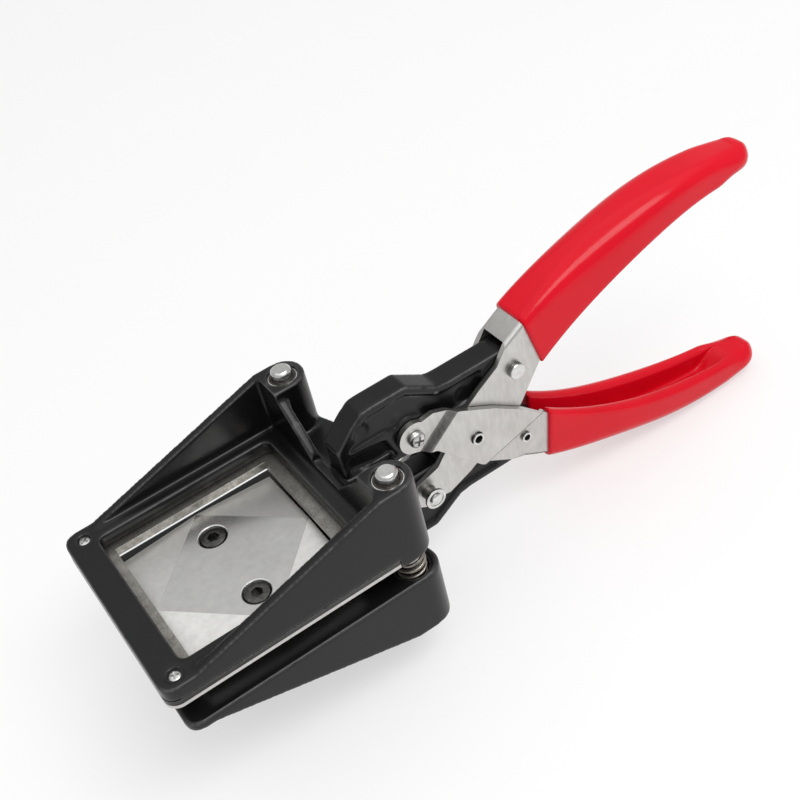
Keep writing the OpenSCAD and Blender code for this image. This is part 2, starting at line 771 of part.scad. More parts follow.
module upper_pivot_nut() {
    at = [pivot_x, pivot_rise];
    under = cheek_out + seat_play;
    color(bright) placed() above() difference() {
        translate([at[0], under + nut_h, at[1]]) rotate([90, 0, 0])
            cylinder(r = nut_w / sqrt(3), h = nut_h, $fn = 6);
        bar_y(at, screw_r, under - lap, under + nut_h + lap);
    }
}

module upper_channel() {
    color(steel) placed() above() difference() {
        flat_channel();
        channel_holes(pin_r + pivot_clear, rivet_r, slide_pin_r, slide_rise);
    }
}

module upper_grip() {
    color(red) placed() above() grip_shell(upper_edges, upper_tip, upper_start) flat_channel();
}

module centre_rivet() {
    color(steel) placed() above() tube_rivet([rivet_x, 0], rivet_r, outer_out);
}

module upper_slide_pin() {
    at = [slide_x, slide_rise];
    under = cheek_out + seat_play;
    half = cheek_out + slide_pin_proud;
    color(bright) placed() above() {
        bar_y(at, slide_pin_r, -under - lap, under + lap);
        bar_y(at, slide_end_r, under, half);
        bar_y(at, slide_end_r, -half, -under);
    }
}

module lower_channel() {
    color(steel) placed() below() difference() {
        joggled_channel();
        channel_holes(screw_r + pivot_clear, rivet_r + rivet_play, slide_rivet_r, lower_slide_rise);
    }
}

module lower_grip() {
    color(red) placed() below() grip_shell(lower_edges, lower_tip, lower_start) joggled_channel();
}

module lower_slide_rivet() {
    color(steel) placed() below() tube_rivet([slide_x, lower_slide_rise], slide_rivet_r, cheek_out);
}

base_casting();
punch_block();
punch_screws();
guide_post_left();
guide_post_right();
return_spring_left();
return_spring_right();
lower_pivot_pin();
lower_pivot_ring();
frame_casting();
die_plate();
die_front_screws();
die_rear_screws();
guide_bush_left();
guide_bush_right();
upper_pivot_screw();
upper_pivot_nut();
upper_channel();
upper_grip();
centre_rivet();
upper_slide_pin();
lower_channel();
lower_grip();
lower_slide_rivet();
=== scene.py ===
import json
import math

import bpy
from mathutils import Matrix, Vector

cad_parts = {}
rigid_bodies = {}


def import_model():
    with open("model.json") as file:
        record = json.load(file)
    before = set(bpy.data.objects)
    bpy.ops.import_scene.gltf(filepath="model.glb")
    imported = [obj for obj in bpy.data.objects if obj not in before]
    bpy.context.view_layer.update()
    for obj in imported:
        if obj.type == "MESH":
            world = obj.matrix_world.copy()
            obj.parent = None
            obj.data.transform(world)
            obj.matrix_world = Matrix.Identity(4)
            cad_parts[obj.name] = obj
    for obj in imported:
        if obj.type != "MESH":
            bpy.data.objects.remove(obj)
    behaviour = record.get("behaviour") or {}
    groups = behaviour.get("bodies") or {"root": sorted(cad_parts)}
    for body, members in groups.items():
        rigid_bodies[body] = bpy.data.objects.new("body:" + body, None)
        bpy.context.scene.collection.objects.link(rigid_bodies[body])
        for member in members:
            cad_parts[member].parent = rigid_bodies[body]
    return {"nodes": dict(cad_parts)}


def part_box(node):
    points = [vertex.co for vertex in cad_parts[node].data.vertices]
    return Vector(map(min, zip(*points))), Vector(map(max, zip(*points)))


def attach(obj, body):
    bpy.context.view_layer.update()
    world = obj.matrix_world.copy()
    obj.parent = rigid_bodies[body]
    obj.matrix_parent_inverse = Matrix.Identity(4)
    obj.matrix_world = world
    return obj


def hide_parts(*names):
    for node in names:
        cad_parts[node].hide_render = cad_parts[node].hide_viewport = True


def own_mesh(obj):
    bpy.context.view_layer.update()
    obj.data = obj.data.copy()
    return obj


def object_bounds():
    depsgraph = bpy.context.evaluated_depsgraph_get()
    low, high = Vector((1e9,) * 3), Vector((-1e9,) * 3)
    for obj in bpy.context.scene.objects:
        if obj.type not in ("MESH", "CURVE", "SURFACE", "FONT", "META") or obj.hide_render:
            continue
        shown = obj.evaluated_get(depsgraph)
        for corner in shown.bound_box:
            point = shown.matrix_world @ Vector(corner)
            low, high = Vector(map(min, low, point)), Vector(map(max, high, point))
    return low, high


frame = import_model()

mm = 0.001
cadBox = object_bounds()
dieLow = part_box("die_plate")[0]  # the die plate's lower front edge is the tool's own zero
print("frame loaded:", len(frame["nodes"]), "solids")


def at(x, y, z):
    return Vector((dieLow.x + x * mm, y * mm, dieLow.z + z * mm))


# small helpers, as one would click them; angles in degrees, reaches in mm
meshLook = {"flat": 0.4, "crease": 32.0, "cadMerge": 0.004, "turnMerge": 0.001, "cutMerge": 0.002,
            "turnSides": 64}


def deselectAll():
    if bpy.context.object and bpy.context.object.mode != "OBJECT":
        bpy.ops.object.mode_set(mode="OBJECT")
    for one in bpy.context.view_layer.objects:
        one.select_set(False)


def pick(piece):
    deselectAll()
    bpy.context.view_layer.objects.active = piece
    piece.select_set(True)


def applyModifier(piece, kind, **values):
    pick(piece)
    bpy.ops.object.modifier_add(type=kind)
    added = piece.modifiers[-1]
    for name, value in values.items():
        setattr(added, name, value)
    bpy.ops.object.modifier_apply(modifier=added.name)


def smoothByAngle(piece, degrees=meshLook["crease"]):
    pick(piece)
    bpy.ops.object.shade_smooth_by_angle(angle=math.radians(degrees))


def editWhole(piece):
    pick(piece)
    bpy.ops.object.mode_set(mode="EDIT")
    bpy.ops.mesh.select_all(action="SELECT")


def editEdges(piece):
    pick(piece)
    bpy.ops.object.mode_set(mode="EDIT")
    bpy.ops.mesh.select_mode(type="EDGE")
    bpy.ops.mesh.select_all(action="DESELECT")


def leaveEdit():
    bpy.ops.object.mode_set(mode="OBJECT")


def mergeDoubles(piece, reach=meshLook["cadMerge"]):
    editWhole(piece)
    bpy.ops.mesh.remove_doubles(threshold=reach * mm)
    leaveEdit()


def faceOutward(piece):
    editWhole(piece)
    bpy.ops.mesh.normals_make_consistent(inside=False)
    leaveEdit()


def roundEdges(piece, test, width, steps, clamp=True):
    # rounds the edges whose two ends pass the test
    editEdges(piece)
    leaveEdit()
    spots = piece.data.vertices
    for edge in piece.data.edges:
        edge.select = test(spots[edge.vertices[0]].co, spots[edge.vertices[1]].co)
    bpy.ops.object.mode_set(mode="EDIT")
    bpy.ops.mesh.bevel(offset=width * mm, segments=steps, profile=0.5, affect="EDGES", clamp_overlap=clamp)
    leaveEdit()


def cutAway(piece, cutter):
    applyModifier(piece, "BOOLEAN", operation="DIFFERENCE", object=cutter, solver="EXACT")
    bpy.data.objects.remove(cutter)


def copyOfNode(node, name):
    piece = bpy.data.objects.new(name, frame["nodes"][node].data.copy())
    bpy.context.scene.collection.objects.link(piece)
    piece.data.materials.clear()
    piece.data.name = name
    mergeDoubles(piece)
    editWhole(piece)
    bpy.ops.mesh.dissolve_limited(angle_limit=math.radians(meshLook["flat"]))
    leaveEdit()
    return piece


def applyPlace(piece):
    pick(piece)
    bpy.ops.object.transform_apply(location=True, rotation=True, scale=True)


def dress(piece, finish, body, slot, *nodes):
    piece.data.materials.clear()
    piece.data.materials.append(finish)
    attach(piece, body)
    if nodes:
        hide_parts(*nodes)
    return piece


def planGap(a, b):
    return math.hypot(a.x - b.x, a.y - b.y)


def moreFinish(piece, finish, test):
    piece.data.materials.append(finish)
    place = len(piece.data.materials) - 1
    for face in piece.data.polygons:
        if test(face.center, face.normal):
            face.material_index = place


def setOnAxis(piece, spot, axis, height=0.0):
    # a piece made along z goes to its spot, upright or across the tool
    if axis == "y":
        piece.rotation_euler.x = math.radians(-90.0)
        piece.location = at(spot[0], height, spot[1])
    else:
        piece.location = at(spot[0], spot[1], height)
    applyPlace(piece)


def turnPiece(name, profile, spot, axis="z", tube=False):
    # a ring grows along its axis through (radius, height) pairs; a tube comes back to its first ring
    deselectAll()
    bpy.ops.mesh.primitive_circle_add(vertices=meshLook["turnSides"], radius=profile[0][0] * mm,
                                      fill_type="NOTHING" if tube else "NGON", location=(0, 0, 0))
    piece = bpy.context.object
    piece.name = name
    editWhole(piece)
    bpy.ops.transform.translate(value=(0, 0, profile[0][1] * mm))
    steps = list(profile) + ([profile[0]] if tube else [])
    for (lastRadius, lastHeight), (radius, height) in zip(steps, steps[1:]):
        bpy.ops.mesh.extrude_region_move(TRANSFORM_OT_translate={"value": (0, 0, (height - lastHeight) * mm)})
        grow = radius / lastRadius
        bpy.ops.transform.resize(value=(grow, grow, 1.0), center_override=(0, 0, height * mm))
    leaveEdit()
    mergeDoubles(piece, meshLook["turnMerge"])
    faceOutward(piece)
    setOnAxis(piece, spot, axis)
    return piece


# node helpers

def addNode(tree, kind, values=None, **settings):
    node = tree.nodes.new("ShaderNode" + kind)
    for name, value in settings.items():
        setattr(node, name, value)
    for name, value in (values or {}).items():
        node.inputs[name].default_value = value
    return node


def newGroup(name, inputs, outputs):
    group = bpy.data.node_groups.new(name, "ShaderNodeTree")
    for label, kind, value in inputs:
        socket = group.interface.new_socket(label, in_out="INPUT", socket_type="NodeSocket" + kind)
        if value is not None:
            socket.default_value = value
    for label, kind in outputs:
        group.interface.new_socket(label, in_out="OUTPUT", socket_type="NodeSocket" + kind)
    start = group.nodes.new("NodeGroupInput")
    end = group.nodes.new("NodeGroupOutput")
    return group, start, end


def useGroup(tree, group, place, **values):
    node = tree.nodes.new("ShaderNodeGroup")
    node.node_tree = group
    for name, value in values.items():
        node.inputs[name].default_value = value
    if place is not None:
        tree.links.new(place, node.inputs["Place"])
    return node


# grain: an even speckle, from orange peel to clouds, by its scale
grain, grainIn, grainOut = newGroup(
    "grain", [("Place", "Vector", None), ("Scale", "Float", 500.0), ("Detail", "Float", 2.0)],
    [("Value", "Float")])
speckle = addNode(grain, "TexNoise", {"Roughness": 0.55})
grain.links.new(grainIn.outputs["Place"], speckle.inputs["Vector"])
grain.links.new(grainIn.outputs["Scale"], speckle.inputs["Scale"])
grain.links.new(grainIn.outputs["Detail"], speckle.inputs["Detail"])
grain.links.new(speckle.outputs[0], grainOut.inputs["Value"])

# brushing: fine lines along one way, set by the stretch
brushing, brushIn, brushOut = newGroup(
    "brushing", [("Place", "Vector", None), ("Stretch", "Vector", (1.0, 1.0, 1.0)),
                 ("Turn", "Vector", (0.0, 0.0, 0.0))],
    [("Value", "Float")])
brushWay = addNode(brushing, "Mapping")
brushNoise = addNode(brushing, "TexNoise", {"Scale": 1.0, "Detail": 4.0, "Roughness": 0.6})
brushing.links.new(brushIn.outputs["Place"], brushWay.inputs["Vector"])
brushing.links.new(brushIn.outputs["Stretch"], brushWay.inputs["Scale"])
brushing.links.new(brushIn.outputs["Turn"], brushWay.inputs["Rotation"])
brushing.links.new(brushWay.outputs["Vector"], brushNoise.inputs["Vector"])
brushing.links.new(brushNoise.outputs[0], brushOut.inputs["Value"])

# a mask along outer edges, thinned here and there, for painted edge highlights and slight wear
edgeWear, edgeMaskIn, edgeMaskOut = newGroup(
    "edgeWear", [("Place", "Vector", None), ("Low", "Float", 0.53), ("High", "Float", 0.62),
                 ("Patch", "Float", 400.0)],
    [("Mask", "Float")])
edgeMaskPoint = edgeWear.nodes.new("ShaderNodeNewGeometry")
edgeMaskRange = addNode(edgeWear, "MapRange")
edgeMaskNoise = addNode(edgeWear, "TexNoise", {"Detail": 3.0})
edgeMaskPatch = addNode(edgeWear, "MapRange", {"From Min": 0.2, "From Max": 0.5})
edgeMaskMix = addNode(edgeWear, "Math", operation="MULTIPLY")
edgeWear.links.new(edgeMaskPoint.outputs["Pointiness"], edgeMaskRange.inputs["Value"])
edgeWear.links.new(edgeMaskIn.outputs["Low"], edgeMaskRange.inputs["From Min"])
edgeWear.links.new(edgeMaskIn.outputs["High"], edgeMaskRange.inputs["From Max"])
edgeWear.links.new(edgeMaskIn.outputs["Place"], edgeMaskNoise.inputs["Vector"])
edgeWear.links.new(edgeMaskIn.outputs["Patch"], edgeMaskNoise.inputs["Scale"])
edgeWear.links.new(edgeMaskNoise.outputs[0], edgeMaskPatch.inputs["Value"])
edgeWear.links.new(edgeMaskRange.outputs[0], edgeMaskMix.inputs[0])
edgeWear.links.new(edgeMaskPatch.outputs[0], edgeMaskMix.inputs[1])
edgeWear.links.new(edgeMaskMix.outputs[0], edgeMaskOut.inputs["Mask"])


def startMaterial(name, values):
    finish = bpy.data.materials.new(name)
    finish.use_nodes = True
    tree = finish.node_tree
    shader = tree.nodes["Principled BSDF"]
    for label, value in values.items():
        shader.inputs[label].default_value = value
    place = addNode(tree, "TexCoord").outputs["Object"]
    return finish, tree, shader, place


def mixColours(tree, mask, first, second):
    mixed = addNode(tree, "Mix", data_type="RGBA")
    tree.links.new(mask, mixed.inputs[0])
    for index, colour in ((6, first), (7, second)):
        if hasattr(colour, "is_output"):
            tree.links.new(colour, mixed.inputs[index])
        else:
            mixed.inputs[index].default_value = (*colour, 1.0)
    return mixed.outputs[2]


def spread(tree, value, low, high, fromLow=0.3, fromHigh=0.7):
    ranged = addNode(tree, "MapRange", {"From Min": fromLow, "From Max": fromHigh,
                                        "To Min": low, "To Max": high})
    tree.links.new(value, ranged.inputs["Value"])
    return ranged.outputs[0]


def bumpFrom(tree, shader, height, strength, depth):
    bump = addNode(tree, "Bump", {"Strength": strength, "Distance": depth * mm})
    tree.links.new(height, bump.inputs["Height"])
    tree.links.new(bump.outputs["Normal"], shader.inputs["Normal"])


# satin black paint on the castings; its lighter edge colour is painted highlight along the edges, with some
# real wear
paintLook = {"deep": (0.0042, 0.0042, 0.0046), "pale": (0.0085, 0.0085, 0.009), "edge": (0.13, 0.13, 0.13),
             "rough": (0.20, 0.29), "gloss": 0.32, "peel": 1500.0, "bump": (0.18, 0.02), "cloud": 70.0,
             "wearAndHighlight": (0.518, 0.565, 350.0)}


def makePaint(look):
    finish, tree, shader, place = startMaterial("blackPaint", {"Specular IOR Level": look["gloss"]})
    cloud = useGroup(tree, grain, place, Scale=look["cloud"], Detail=3.0)
    peel = useGroup(tree, grain, place, Scale=look["peel"], Detail=2.0)
    low, high, patch = look["wearAndHighlight"]
    wearAndHighlight = useGroup(tree, edgeWear, place, Low=low, High=high, Patch=patch)
    body = mixColours(tree, cloud.outputs[0], look["deep"], look["pale"])
    # the outer edges are lightened: painted highlight, with some real wear
    tree.links.new(mixColours(tree, wearAndHighlight.outputs[0], body, look["edge"]), shader.inputs["Base Color"])
    tree.links.new(spread(tree, cloud.outputs[0], *look["rough"]), shader.inputs["Roughness"])
    bumpFrom(tree, shader, peel.outputs[0], *look["bump"])
    return finish


# bare steel in several finishes: ground die and punch, satin handles, bright pins, plated screws; a darker
# copy paints shade on creases and pin sides, and the punch corners' steel is made lighter, partly as painted
# highlight
steelMix = {"share": 0.5, "contrast": (0.36, 0.64), "bump": 0.25, "turn": (0.0, 0.0, 0.0)}
steelLooks = {
    "punchSteel": {"deep": (0.57, 0.565, 0.55), "pale": (0.66, 0.655, 0.64), "rough": (0.20, 0.28),
                   "stretch": (420.0, 420.0, 420.0), "cloud": 60.0, "depth": 0.010},
    # the punch corners' steel is lighter: partly a ground finish, partly painted highlight
    "groundSteel": {"deep": (0.71, 0.705, 0.69), "pale": (0.85, 0.845, 0.825), "rough": (0.40, 0.52),
                    "stretch": (520.0, 520.0, 520.0), "cloud": 90.0, "depth": 0.03},
    "dieSteel": {"deep": (0.19, 0.18, 0.165), "pale": (0.40, 0.385, 0.36), "rough": (0.36, 0.52),
                 "stretch": (2100.0, 2100.0, 2100.0), "cloud": 300.0, "depth": 0.02},
    "handleSteel": {"deep": (0.53, 0.52, 0.50), "pale": (0.64, 0.63, 0.61), "rough": (0.30, 0.42),
                    "stretch": (900.0, 900.0, 240.0), "turn": (0.0, 0.6, 0.0), "cloud": 90.0,
                    "depth": 0.004},
    # a darker steel laid on creases and pin sides as painted shade
    "creaseSteel": {"deep": (0.14, 0.135, 0.13), "pale": (0.30, 0.29, 0.28), "rough": (0.32, 0.46),
                    "stretch": (900.0, 900.0, 240.0), "turn": (0.0, 0.6, 0.0), "cloud": 200.0,
                    "depth": 0.006},
    "brightSteel": {"deep": (0.60, 0.60, 0.59), "pale": (0.80, 0.80, 0.79), "rough": (0.16, 0.32),
                    "stretch": (700.0, 700.0, 700.0), "cloud": 420.0, "depth": 0.03},
    "zincSteel": {"deep": (0.52, 0.52, 0.51), "pale": (0.74, 0.74, 0.73), "rough": (0.20, 0.34),
                  "stretch": (900.0, 900.0, 900.0), "cloud": 300.0, "depth": 0.01},
    # dark, brownish spring steel: partly oily oxide, partly painted shade in the gap between the castings
    "springSteel": {"deep": (0.20, 0.18, 0.155), "pale": (0.40, 0.37, 0.33), "rough": (0.26, 0.42),
                    "stretch": (900.0, 900.0, 300.0), "cloud": 260.0, "depth": 0.008},
    "blackOxide": {"deep": (0.06, 0.059, 0.057), "pale": (0.14, 0.137, 0.132), "rough": (0.24, 0.38),
                   "stretch": (900.0, 900.0, 900.0), "cloud": 500.0, "depth": 0.01},
    "bushMetal": {"deep": (0.05, 0.046, 0.042), "pale": (0.13, 0.12, 0.11), "rough": (0.38, 0.55),
                  "stretch": (1500.0, 1500.0, 1500.0), "cloud": 700.0, "depth": 0.015},
}


def makeSteel(name, look):
    finish, tree, shader, place = startMaterial(name, {"Metallic": 1.0})
    cloud = useGroup(tree, grain, place, Scale=look["cloud"], Detail=4.0)
    lines = useGroup(tree, brushing, place, Stretch=look["stretch"], Turn=look.get("turn", steelMix["turn"]))
    both = addNode(tree, "Math", {1: steelMix["share"]}, operation="MULTIPLY_ADD")
    tree.links.new(lines.outputs[0], both.inputs[0])
    half = addNode(tree, "Math", {1: steelMix["share"]}, operation="MULTIPLY")
    tree.links.new(cloud.outputs[0], half.inputs[0])
    tree.links.new(half.outputs[0], both.inputs[2])
    mask = spread(tree, both.outputs[0], 0.0, 1.0, *steelMix["contrast"])
    tree.links.new(mixColours(tree, mask, look["deep"], look["pale"]), shader.inputs["Base Color"])
    smooth, rough = look["rough"]
    tree.links.new(spread(tree, both.outputs[0], rough, smooth), shader.inputs["Roughness"])
    bumpFrom(tree, shader, lines.outputs[0], steelMix["bump"], look["depth"])
    return finish


# dipped vinyl of the grips
vinylLook = {"deep": (0.62, 0.0025, 0.013), "pale": (0.75, 0.004, 0.019), "rough": (0.14, 0.21), "flow": 55.0,
             "pore": 900.0, "poreShare": 0.06, "bump": (0.2, 0.12), "bend": 1.5, "gloss": 0.22}


def makeVinyl(look):
    finish, tree, shader, place = startMaterial("redVinyl", {"IOR": look["bend"],
                                                             "Specular IOR Level": look["gloss"]})
    flow = useGroup(tree, grain, place, Scale=look["flow"], Detail=2.0)
    pore = useGroup(tree, grain, place, Scale=look["pore"], Detail=2.0)
    tree.links.new(mixColours(tree, flow.outputs[0], look["deep"], look["pale"]), shader.inputs["Base Color"])
    tree.links.new(spread(tree, pore.outputs[0], *look["rough"]), shader.inputs["Roughness"])
    height = addNode(tree, "Math", {1: look["poreShare"]}, operation="MULTIPLY_ADD")
    tree.links.new(pore.outputs[0], height.inputs[0])
    tree.links.new(flow.outputs[0], height.inputs[2])
    bumpFrom(tree, shader, height.outputs[0], *look["bump"])
    return finish


blackPaint = makePaint(paintLook)
steel = {name: makeSteel(name, look) for name, look in steelLooks.items()}
redVinyl = makeVinyl(vinylLook)
print("finishes made:", 2 + len(steel))

# castings: the solids with the soft edges of a die casting
castLook = {"voxel": 0.5, "rounds": 12, "pull": 0.5, "mostFaces": 95000}


def castForm(node, name, look):
    piece = copyOfNode(node, name)
    applyModifier(piece, "REMESH", mode="VOXEL", voxel_size=look["voxel"] * mm)
    applyModifier(piece, "SMOOTH", factor=look["pull"], iterations=look["rounds"])
    count = len(piece.data.polygons)
    if count > look["mostFaces"]:
        applyModifier(piece, "DECIMATE", ratio=look["mostFaces"] / count)
    pick(piece)
    bpy.ops.object.shade_smooth()
    return piece


baseCasting = dress(castForm("base_casting", "baseCasting", castLook), blackPaint,
                    "base", "black_paint", "base_casting")
frameCasting = dress(castForm("frame_casting", "frameCasting", castLook), blackPaint,
                     "die_frame", "black_paint", "frame_casting")
print("castings rounded:", len(baseCasting.data.polygons), len(frameCasting.data.polygons), "faces")

# plain machined pieces: the solids with broken edges
edgeLook = {"break": 0.25, "steps": 3}


def bevelByAngle(piece, width, steps, degrees):
    applyModifier(piece, "BEVEL", width=width * mm, segments=steps, limit_method="ANGLE",
                  angle_limit=math.radians(degrees), use_clamp_overlap=True)


def breakEdges(piece, width, steps):
    bevelByAngle(piece, width, steps, meshLook["crease"])
    smoothByAngle(piece)
    applyModifier(piece, "WEIGHTED_NORMAL", keep_sharp=True)


pivotNut = copyOfNode("upper_pivot_nut", "upperPivotNut")
breakEdges(pivotNut, edgeLook["break"], edgeLook["steps"])
dress(pivotNut, steel["zincSteel"], "die_frame", "zinc_steel", "upper_pivot_nut")

# the die plate is bare below and on its land, and painted with the casting above its lower edge
dieLook = {"bare": 1.15, "rimSide": 30.0, "rimFront": 5.0, "level": 0.95, "slope": 0.15}
diePlate = copyOfNode("die_plate", "diePlate")
editWhole(diePlate)
bpy.ops.mesh.bisect(plane_co=at(0, 0, dieLook["bare"]), plane_no=(0, 0, 1))
leaveEdit()
breakEdges(diePlate, edgeLook["break"], edgeLook["steps"])
dress(diePlate, steel["dieSteel"], "die_frame", "tool_steel", "die_plate")
paintLine = at(0, 0, dieLook["bare"]).z
frontLine = at(dieLook["rimFront"], 0, 0).x


def onRim(c):
    return abs(c.y) > dieLook["rimSide"] * mm or c.x < frontLine


def onPaint(c, n):
    return onRim(c) and c.z > paintLine and n.z < dieLook["level"]


def onBrightEdge(c, n):
    # the strip below the paint, and the edge of the opening
    if onRim(c):
        return abs(n.z) < dieLook["level"] and c.z < paintLine
    return dieLook["slope"] < n.z < dieLook["level"]


moreFinish(diePlate, blackPaint, onPaint)
moreFinish(diePlate, steel["handleSteel"], onBrightEdge)
print("nut and die plate done")

# turned pieces: (radius, height) pairs along the axis, in mm
postSpots = {"Left": (76.2, 28.4), "Right": (76.2, -28.4)}
postProfile = [(2.6, -30.3), (3.1, -29.8), (3.1, 27.45), (3.02, 27.66), (2.45, 28.18), (2.25, 28.3),
               (1.2, 28.28)]
bushProfile = [(4.3, 12.0), (4.5, 12.2), (4.5, 25.0), (4.4, 25.16), (4.15, 25.2), (3.45, 25.2), (3.15, 24.9),
               (3.15, 12.3), (3.35, 12.0)]
turnLook = {"bushRim": 4.1, "bushUp": 0.3, "pinSide": 0.3}
rivetLook = {"lip": 0.15, "flare": 0.22, "undercut": 0.02, "outerDrops": (0.0, 0.05, 0.2, 0.35, 0.5),
             "boreFlare": 0.04, "boreDrops": (0.45, 0.12)}


def rivetProfile(radius, half, bore, look=rivetLook):
    lip = radius + look["lip"]
    widths = (bore + look["flare"], radius, lip, lip - look["undercut"], radius)
    outer = [(width, half - drop) for width, drop in zip(widths, look["outerDrops"])]
    inner = [(width, half - drop) for width, drop in zip((bore, bore + look["boreFlare"]), look["boreDrops"])]
    low = [(r, -h) for r, h in outer]
    return low + outer[::-1] + inner[::-1] + [(r, -h) for r, h in inner]


pinPieces = {
    "lowerPivotPin": ("base", "lower_pivot_pin", (96.9, -12.3), False,
                      [(0.5, -10.85), (1.25, -10.78), (1.75, -10.6), (2.0, -10.32), (2.05, -10.0),
                       (2.4, -10.0), (2.5, -10.2), (2.62, -10.25), (3.1, -10.25), (3.32, -10.15),
                       (3.4, -9.95), (3.4, -9.45), (3.25, -9.25), (2.3, -9.25), (2.3, 7.65), (2.0, 7.95)]),
    "lowerPivotRing": ("base", "lower_pivot_ring", (96.9, -12.3), True,
                       [(3.3, 6.35), (3.5, 6.55), (3.5, 7.15), (3.3, 7.35), (2.32, 7.35), (2.32, 6.35)]),
    "centreRivet": ("upper_handle", "centre_rivet", (115.3, -1.15), True, rivetProfile(1.85, 9.25, 1.25)),
    "upperSlidePin": ("upper_handle", "upper_slide_pin", (132.9, 13.25), False,
                      [(2.1, -8.05), (2.42, -7.98), (2.6, -7.76), (2.6, -6.45), (2.5, -6.35), (2.0, -6.35),
                       (2.0, 6.35), (2.5, 6.35), (2.6, 6.45), (2.6, 7.76), (2.42, 7.98), (2.1, 8.05)]),
    "lowerSlideRivet": ("lower_handle", "lower_slide_rivet", (132.9, -13.95), True,
                        rivetProfile(1.6, 7.25, 1.0)),
}

for side, spot in postSpots.items():
    post = turnPiece("guidePost" + side, postProfile, spot)
    smoothByAngle(post)
    dress(post, steel["brightSteel"], "base", "bright_steel", "guide_post_" + side.lower())
    bush = turnPiece("guideBush" + side, bushProfile, spot, tube=True)
    smoothByAngle(bush)
    dress(bush, steel["bushMetal"], "die_frame", "bush_metal", "guide_bush_" + side.lower())
    middle = at(spot[0], spot[1], 0.0)
    # the outer top rim of each bush gets bright steel: partly a machined edge, partly painted highlight
    moreFinish(bush, steel["brightSteel"],
               lambda c, n: n.z > turnLook["bushUp"] and planGap(c, middle) > turnLook["bushRim"] * mm)
for name, (body, node, spot, tube, profile) in pinPieces.items():
    pin = turnPiece(name, profile, spot, "y", tube)
    smoothByAngle(pin)
    dress(pin, steel["brightSteel"], body, "bright_steel", node)
    # painted shade: the sides of the pins and rivets get the darker steel
    moreFinish(pin, steel["creaseSteel"], lambda c, n: abs(n.y) < turnLook["pinSide"])
print("turned pieces:", 2 * len(postSpots) + len(pinPieces))

# screws: a turned body with a cross or hex recess cut into its head
screwLooks = {
    "frontScrew": {"spots": {"Left": (5.3, 30.4), "Right": (5.3, -30.4)},
                   "turns": {"Left": 35.0, "Right": 70.0}, "axis": "z",
                   "node": "die_front_screws", "body": "die_frame", "slot": "zinc_steel",
                   "finish": "zincSteel", "top": 6.9, "recess": ("cross", 2.5, 0.62, 0.8),
                   "profile": [(1.1, 0.02), (1.25, 0.2), (1.25, 5.3), (1.8, 5.3), (1.9, 5.4), (1.9, 6.2),
                               (1.8, 6.5), (1.5, 6.74), (1.0, 6.88), (0.5, 6.9)]},
    "rearScrew": {"spots": {"Left": (67.8, 20.0), "Right": (67.8, -20.0)},
                  "turns": {"Left": 15.0, "Right": 50.0}, "axis": "z",
                  "node": "die_rear_screws", "body": "die_frame", "slot": "zinc_steel",
                  "finish": "zincSteel", "top": 0.0, "recess": ("cross", 2.6, 0.6, 0.8),
                  "profile": [(2.2, 0.02), (2.28, 0.1), (1.25, 1.2), (1.25, 6.0), (1.05, 6.2)]},
    "punchScrew": {"spots": {"Left": (36.4, 13.5), "Right": (36.4, -13.5)},
                   "turns": {"Left": 12.0, "Right": 40.0}, "axis": "z",
                   "node": "punch_screws", "body": "base", "slot": "black_oxide",
                   "finish": "blackOxide", "top": -1.65, "recess": ("hex", 3.7, 0.0, 2.0),
                   "profile": [(2.2, -12.5), (2.5, -12.2), (2.5, -4.15), (3.7, -2.3), (3.75, -2.0),
                               (3.66, -1.78), (3.4, -1.65), (2.1, -1.65)]},
    "upperPivotScrew": {"spots": {"": (96.9, 10.0)}, "turns": {"": 20.0}, "axis": "y",
                        "node": "upper_pivot_screw", "body": "die_frame", "slot": "zinc_steel",
                        "finish": "zincSteel", "top": -8.25, "recess": ("cross", 3.3, 0.75, 1.1),
                        "profile": [(0.6, -8.25), (1.3, -8.2), (1.9, -8.0), (2.35, -7.65), (2.58, -7.25),
                                    (2.62, -6.95), (2.62, -6.45), (2.5, -6.35), (2.0, -6.35), (2.0, 9.7),
                                    (1.75, 9.95)]},
}


def recessCutters(recess, degrees):
    kind, length, width, depth = recess
    cutters = []
    for turn in ((0.0, 90.0) if kind == "cross" else (0.0,)):
        deselectAll()
        if kind == "cross":
            bpy.ops.mesh.primitive_cube_add(size=1.0)
            bpy.context.object.scale = (length * mm, width * mm, 2 * depth * mm)
        else:
            bpy.ops.mesh.primitive_cylinder_add(vertices=6, radius=length / 2 * mm, depth=2 * depth * mm)
        bpy.context.object.rotation_euler.z = math.radians(degrees + turn)
        applyPlace(bpy.context.object)
        cutters.append(bpy.context.object)
    return cutters


def makeScrew(name, look, spot, degrees):
    screw = turnPiece(name, look["profile"], spot, look["axis"])
    for cutter in recessCutters(look["recess"], degrees):
        setOnAxis(cutter, spot, look["axis"], look["top"])
        cutAway(screw, cutter)
    mergeDoubles(screw, meshLook["cutMerge"])
    smoothByAngle(screw)
    return screw


for name, look in screwLooks.items():
    stands = [look["node"]]
    for side, spot in look["spots"].items():
        screw = makeScrew(name + side, look, spot, look["turns"][side])
        dress(screw, steel[look["finish"]], look["body"], look["slot"], *stands)
        stands = []
print("screws cut:", len(screwLooks))

# punch: a square block whose corners fall away from a flat diamond
punchLook = {"middle": 36.4, "side": 49.9, "low": -9.3, "top": -1.5, "rake": 1.8, "reach": 17.678,
             "holes": ((36.4, 13.5), (36.4, -13.5)), "edge": 0.1, "edgeSteps": 2, "edgeTurn": 60.0,
             "facet": 4.0, "rim": 0.45, "rimSteps": 3, "rimReach": 5.2, "rimBand": 0.2, "rimInset": 0.5,
             "rimLevel": 0.01, "rimStep": 0.6, "ground": (0.98, 0.9985), "rimTilt": (0.05, 0.98),
             "hole": [(2.5, -12.0), (2.5, -4.15), (4.15, -2.1), (4.15, 1.0)]}


